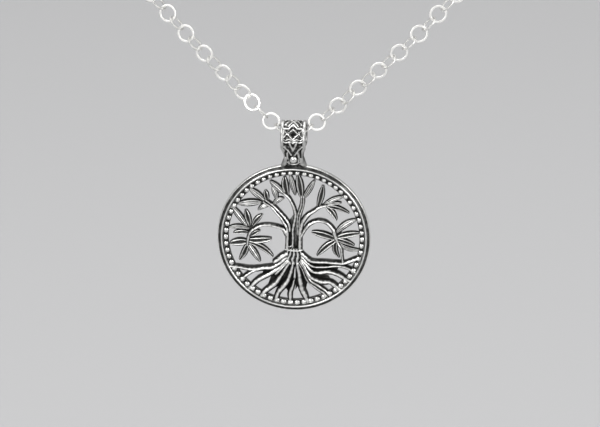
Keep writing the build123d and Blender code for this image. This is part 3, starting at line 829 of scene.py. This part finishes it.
def distance_to(places, line):
    """The distance of each place to a line of several straight runs."""
    nearest = np.full(places.shape[:-1], 1e9)
    for start, end in zip(line[:-1], line[1:]):
        start, end = np.array(start, float), np.array(end, float)
        run = end - start
        share = np.clip(((places - start) @ run) / (run @ run), 0, 1)
        nearest = np.minimum(nearest, np.linalg.norm(places - start - share[..., None] * run, axis=-1))
    return nearest


def bail_half_width(height):
    """Half the width of the bail and its neck at a height from the hinge."""
    heights, halves = np.array(BAIL_HALF_WIDTHS).T
    return np.interp(height, heights, halves)


def way_up(outer):
    """How far up along the front each point of the bail's outer line lies, and 99 at the back."""
    front, over, _, toe = BAIL_STEPS
    turn = math.asin((BAIL_OUTER - BAIL_TOE) / BAIL_DEPTH)
    way = np.full(len(outer), 99.0)
    way[:over] = BAIL_OUTER * np.linspace(-turn, math.pi + turn, over, endpoint=False)
    straight = len(outer) - front
    way[straight:] = way[0] - np.linalg.norm(outer[straight:] - outer[0], axis=1)
    way[straight - toe:straight] = way[straight] - 0.02 * np.arange(toe, 0, -1)
    return way


def bail_ornament(x, way, half):
    """The height and the relief of the bail's carving at places across and up along its front."""
    places = np.stack([x, np.broadcast_to(way, x.shape)], axis=-1)
    field = ease(0.0, 0.08, (half - BAIL_BAND) - np.abs(x))
    shown = field * (1 - ease(CARVED_TO, PLAIN_FROM, way))
    height = -BAIL_SUNK * shown
    relief_and_shade = 0.5 - 0.34 * shown
    facing = [(tall, wide, [(-across, up) for across, up in line]) for tall, wide, line in BAIL_PAIRS]
    for tall, wide, line in BAIL_LINES + BAIL_PAIRS + facing:
        apart = distance_to(places, line) / wide
        swell = dome_over(apart)
        raised = np.where(apart < 1, -BAIL_SUNK + (tall + 0.08) * swell, -1)
        height = np.maximum(height, raised * shown - (1 - shown))
        relief_and_shade = np.maximum(relief_and_shade, 0.72 * ease(0.3, 1.0, swell) * shown)
    for deep, wide, line in BAIL_PITS:
        sink = 1 - ease(0.55, 1.0, distance_to(places, line) / wide)
        height = height - deep * sink
        relief_and_shade = relief_and_shade * (1 - sink)
    blotch = np.sin(6.1 * x + 2.9 * way) * np.sin(4.7 * way - 3.9 * x + 1.3)
    relief_and_shade = np.clip(relief_and_shade + 0.18 * blotch * shown, 0, 1)
    height = height + 0.02 * blotch * shown
    # The ball on the neck, with the dimple in its top
    swell = dome_over(np.linalg.norm(places - BALL_PLACE, axis=-1) / BALL_RADIUS)
    dimple = hump(np.linalg.norm(places - DIMPLE_PLACE, axis=-1), 0, DIMPLE_RADIUS)
    height = np.where(swell > 0, BALL_HEIGHT * swell - DIMPLE_DEPTH * dimple, height)
    relief_and_shade = np.where(swell > 0, np.clip(ease(0.05, 0.4, swell) - 0.8 * dimple, 0, 1), relief_and_shade)
    return height, relief_and_shade


class PENDANT_OT_bail(bpy.types.Operator):
    """Adds the bail and the neck with their carved ornament"""

    bl_idname = "tree_pendant.bail"
    bl_label = "Bail"

    def execute(self, context):
        carving = context.scene.tree_pendant.carving
        outer, out = bail_loop(BAIL_OUTER, BAIL_TOE, BAIL_DEPTH)
        # The neck runs down into the rim, behind its bevel.
        dive = ease(4.7, 5.6, -outer[:, 1])
        outer[:, 0] *= 1 - 0.45 * dive
        below = np.minimum(outer[:, 1] + BAIL_DEPTH, 0)
        outer[:, 1] = np.where(below < 0, -BAIL_DEPTH + 0.4 * below, outer[:, 1])
        half = bail_half_width(outer[:, 1])[:, None]
        x = half * np.linspace(-1, 1, BAIL_COLUMNS)[None]
        height, relief_and_shade = bail_ornament(x, way_up(outer)[:, None], half)
        # A raised band along each side edge, rounded over to the side.
        from_edge = half - np.abs(x)
        band = ease(0.62, 0.42, from_edge) * ease(-2.6, -1.4, outer[:, 1])[:, None]
        height = (height + BAIL_RAISED * band) * carving
        inside = np.clip(1 - from_edge / BAIL_ROUNDING, 0, 1)
        height = height - BAIL_ROUNDING * (1 - dome_over(inside))
        skin = outer[:, None] + out[:, None] * height[..., None]
        shape = Shape()
        top = shape.grid(np.concatenate([x[..., None], skin], axis=-1), relief_and_shade, wrap_rows=True)
        hole = self.bore(shape)
        for edge, rim in ((top[:, -1], hole[:, 0]), (hole[:, -1], top[:, 0])):
            shape.join(np.stack([edge, rim], axis=-1), wrap_rows=True)
        self.pierce(shape.cast("bail"))
        return {"FINISHED"}

    def bore(self, shape):
        """Adds the inside, a little wider at its mouths, and returns its point numbers."""
        inner, _ = bail_loop(BAIL_BORE, BORE_TOE, BORE_DEPTH)
        across = np.array((1.0, 0.94, 0.8, 0, -0.8, -0.94, -1.0))
        wider = 1 + 0.1 * np.array((1, 0.35, 0, 0, 0, 0.35, 1))
        x = bail_half_width(inner[:, 1])[:, None] * across[None]
        skin = inner[:, None] * wider[None, :, None]
        return shape.grid(np.concatenate([x[..., None], skin], axis=-1), 0.25, wrap_rows=True)

    def pierce(self, piece):
        """Cuts the eyelets through the front."""
        forward = Matrix.Rotation(math.radians(90), 4, "X")
        tilt = Matrix.Rotation(-math.radians(EYELET_TILT), 4, "X")
        tilt = Matrix.Translation(Vector(HINGE) * MM) @ tilt
        cutters = bmesh.new()
        for x, radius, sides in EYELETS:
            made = bmesh.ops.create_cone(cutters, cap_ends=True, segments=sides, radius1=radius * MM,
                                         radius2=radius * MM, depth=2 * MM)
            out = Matrix.Translation((x * MM, -EYELET_FORWARD * MM, 0))
            bmesh.ops.transform(cutters, matrix=tilt @ out @ forward, verts=made["verts"])
        mesh = bpy.data.meshes.new("eyelet cutters")
        cutters.to_mesh(mesh)
        cutters.free()
        cutter = bpy.data.objects.new("eyelet cutters", mesh)
        bpy.context.scene.collection.objects.link(cutter)
        cut = piece.modifiers.new("eyelets", "BOOLEAN")
        cut.operation = "DIFFERENCE"
        cut.solver = "EXACT"
        cut.object = cutter
        bpy.context.view_layer.update()
        graph = bpy.context.evaluated_depsgraph_get()
        piece.data = bpy.data.meshes.new_from_object(piece.evaluated_get(graph))
        piece.modifiers.clear()
        bpy.data.objects.remove(cutter)
        bpy.data.meshes.remove(mesh)


def loose_parts(node):
    """The corner positions of each loose solid of a CAD node, in metres."""
    work = bmesh.new()
    work.from_mesh(frame["nodes"][node].data)
    bmesh.ops.remove_doubles(work, verts=work.verts, dist=WELD)
    seen, parts = set(), []
    for vertex in work.verts:
        if vertex.index in seen:
            continue
        seen.add(vertex.index)
        stack, found = [vertex], []
        while stack:
            one = stack.pop()
            found.append(one.co[:])
            for edge in one.link_edges:
                other = edge.other_vert(one)
                if other.index not in seen:
                    seen.add(other.index)
                    stack.append(other)
        parts.append(np.array(found))
    work.free()
    return parts


def ring_frame(corners):
    """The centre of a ring and three directions, the last across its plane."""
    centre = (corners.min(0) + corners.max(0)) / 2
    spread = corners - corners.mean(0)
    _, directions = np.linalg.eigh(spread.T @ spread)
    across = directions[:, 0]
    centre = centre + across * ((corners.mean(0) - centre) @ across)
    along = directions[:, 2]
    return centre, along, np.cross(across, along), across


def add_ring(shape, corners, radius, half_width, half_depth, squareness, sides, around):
    """Adds a ring with a rounded section where the corners of a solid ring lie."""
    centre, along, aside, across = ring_frame(corners)
    angles = np.linspace(0, 2 * math.pi, around, endpoint=False)
    turns = np.linspace(0, 2 * math.pi, sides, endpoint=False) + math.pi / sides
    cos, sin = np.cos(turns), np.sin(turns)
    wide = half_width * np.sign(cos) * np.abs(cos) ** squareness
    deep = half_depth * np.sign(sin) * np.abs(sin) ** squareness
    spoke = np.cos(angles)[:, None] * along + np.sin(angles)[:, None] * aside
    points = (centre / MM - HINGE + spoke[:, None] * (radius + wide)[None, :, None]
              + across * deep[None, :, None])
    # Painted shade: the links that stand edge on are painted darker, as they catch less light, and so is
    # the inside of each ring.
    facing = 0.4 + 0.6 * ease(0.45, 0.8, abs(across[1]))
    relief_and_shade = np.where(wide > 0, 1.0, 0.95)[None] * facing
    shape.grid(points, relief_and_shade, wrap_rows=True, wrap_columns=True)


def build_rings(node, name, radius, half_width, form):
    """Makes one piece of the round wires that stand for the loose rings of a CAD node."""
    shape = Shape()
    for corners in loose_parts(node):
        add_ring(shape, corners, radius, half_width, *form)
    shape.build(name, "necklace", node, chain_material())


class PENDANT_OT_chain(bpy.types.Operator):
    """Adds the loose links of both sides of the chain"""

    bl_idname = "tree_pendant.chain"
    bl_label = "Chain"

    def execute(self, context):
        half_wire = context.scene.tree_pendant.link_wire / MM / 2
        for node in ("chain_left", "chain_right"):
            build_rings(node, node + "_links", LINK_RADIUS - half_wire, half_wire, LINK_FORM)
        return {"FINISHED"}


class PENDANT_OT_closing(bpy.types.Operator):
    """Adds the end rings and the clasp behind the neck"""

    bl_idname = "tree_pendant.closing"
    bl_label = "End rings and clasp"

    def execute(self, context):
        for node in ("ring_left", "ring_right"):
            build_rings(node, node + "_wire", RING_MIDDLE, RING_HALF_WIRE, RING_FORM)
        self.clasp()
        return {"FINISHED"}

    def clasp(self):
        """Adds the clasp with its edges eased."""
        work = bmesh.new()
        work.from_mesh(frame["nodes"]["clasp"].data)
        bmesh.ops.remove_doubles(work, verts=work.verts, dist=WELD)
        bmesh.ops.dissolve_limit(work, angle_limit=math.radians(1), verts=work.verts, edges=work.edges)
        sharp = [edge for edge in work.edges if edge.is_manifold and edge.calc_face_angle() > 1]
        bmesh.ops.bevel(work, geom=sharp, offset=CLASP_EASING * MM, segments=3, profile=0.5,
                        affect="EDGES", clamp_overlap=True)
        bmesh.ops.triangulate(work, faces=[face for face in work.faces if len(face.verts) > 4])
        # Bevelling leaves the points and faces in no fixed order, so they are put in one.
        points = sorted(vertex.co[:] for vertex in work.verts)
        numbers = {point: i for i, point in enumerate(points)}
        faces = []
        for face in work.faces:
            corners = [numbers[vertex.co[:]] for vertex in face.verts]
            first = corners.index(min(corners))
            faces.append(corners[first:] + corners[:first])
        work.free()
        add_piece("clasp_body", points, sorted(faces), np.ones(len(points)), "necklace", "clasp",
                  chain_material())


class PENDANT_OT_stage(bpy.types.Operator):
    """Adds the floor, the lights, the sky and the camera"""

    bl_idname = "tree_pendant.stage"
    bl_label = "Stage"

    def execute(self, context):
        self.floor(context)
        self.lights(context)
        self.sky(context)
        self.camera(context)
        return {"FINISHED"}

    def floor(self, context):
        """Adds a plain flat floor."""
        signs = (-1, -1), (1, -1), (1, 1), (-1, 1)
        corners = [(x * FLOOR_REACH, y * FLOOR_REACH, FLOOR_LEVEL) for x, y in signs]
        mesh = bpy.data.meshes.new("floor")
        mesh.from_pydata(corners, [], [(0, 1, 2, 3)])
        floor = bpy.data.objects.new("floor", mesh)
        context.scene.collection.objects.link(floor)
        material = bpy.data.materials.new("floor")
        material.use_nodes = True
        shader = material.node_tree.nodes["Principled BSDF"]
        shader.inputs["Base Color"].default_value = (*context.scene.tree_pendant.floor, 1)
        shader.inputs["Roughness"].default_value = 0.9
        shader.inputs["Specular IOR Level"].default_value = 0.1
        mesh.materials.append(material)

    def lights(self, context):
        """Adds the soft lights, aimed at the pendant."""
        target = Vector(HINGE) * MM + Vector(LIGHTS_AIM)
        for name, place, size, power, beam in LIGHTS:
            data = bpy.data.lights.new(name, "AREA")
            data.size = size
            data.energy = power
            data.spread = math.radians(beam)
            lamp = bpy.data.objects.new(name, data)
            lamp.location = target + Vector(place)
            lamp.rotation_euler = (target - lamp.location).to_track_quat("-Z", "Y").to_euler()
            context.scene.collection.objects.link(lamp)

    def sky(self, context):
        """Makes the room dark in front, so that the silver has something to reflect, and pale behind."""
        world = bpy.data.worlds.new("soft room")
        world.use_nodes = True
        tree = world.node_tree
        place = add_node(tree, "ShaderNodeTexCoord", (-900, 0))
        parts = add_node(tree, "ShaderNodeSeparateXYZ", (-700, 0), [(0, place.outputs["Generated"])])
        ramp = add_range(tree, (-500, 0), parts.outputs["Y"], -0.95, 0.1, SKY_FRONT, SKY_BACK,
                         "SMOOTHSTEP")
        tree.links.new(ramp, tree.nodes["Background"].inputs["Color"])
        context.scene.world = world

    def camera(self, context):
        """Adds the camera, in front and a little above."""
        turn, rise = math.radians(CAMERA_TURN), math.radians(CAMERA_RISE)
        target = Vector(HINGE + CAMERA_AIM) * MM
        level = math.cos(rise)
        away = Vector((math.sin(turn) * level, -math.cos(turn) * level, math.sin(rise)))
        data = bpy.data.cameras.new("camera")
        data.sensor_width = SENSOR_WIDTH
        data.lens = SENSOR_WIDTH * CAMERA_DISTANCE / PICTURE_WIDTH
        data.clip_start = 0.01
        camera = bpy.data.objects.new("camera", data)
        camera.location = target + away * CAMERA_DISTANCE
        camera.rotation_euler = (-away).to_track_quat("-Z", "Y").to_euler()
        context.scene.collection.objects.link(camera)
        context.scene.camera = camera
        context.scene.view_settings.view_transform = "Standard"


OPERATORS = (
    PENDANT_OT_rim,
    PENDANT_OT_beads,
    PENDANT_OT_webs,
    PENDANT_OT_branches,
    PENDANT_OT_roots,
    PENDANT_OT_leaves,
    PENDANT_OT_bail,
    PENDANT_OT_chain,
    PENDANT_OT_closing,
    PENDANT_OT_stage,
)


class PENDANT_PT_panel(bpy.types.Panel):
    """Lists the pieces and the settings"""

    bl_idname = "PENDANT_PT_panel"
    bl_label = "Tree Pendant"
    bl_space_type = "VIEW_3D"
    bl_region_type = "UI"
    bl_category = "Tree Pendant"

    def draw(self, context):
        settings = context.scene.tree_pendant
        for key in PendantSettings.__annotations__:
            self.layout.prop(settings, key)
        for operator in OPERATORS:
            self.layout.operator(operator.bl_idname)


CLASSES = (PendantSettings, *OPERATORS, PENDANT_PT_panel)


def register():
    """Registers the classes and the settings."""
    for one in CLASSES:
        bpy.utils.register_class(one)
    bpy.types.Scene.tree_pendant = PointerProperty(type=PendantSettings)


def unregister():
    """Takes the settings and the classes away again."""
    del bpy.types.Scene.tree_pendant
    for one in reversed(CLASSES):
        bpy.utils.unregister_class(one)


def main():
    """Builds the whole scene."""
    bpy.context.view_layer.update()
    register()
    for operator in OPERATORS:
        group, name = operator.bl_idname.split(".")
        getattr(getattr(bpy.ops, group), name)()


if __name__ == "__main__":
    main()
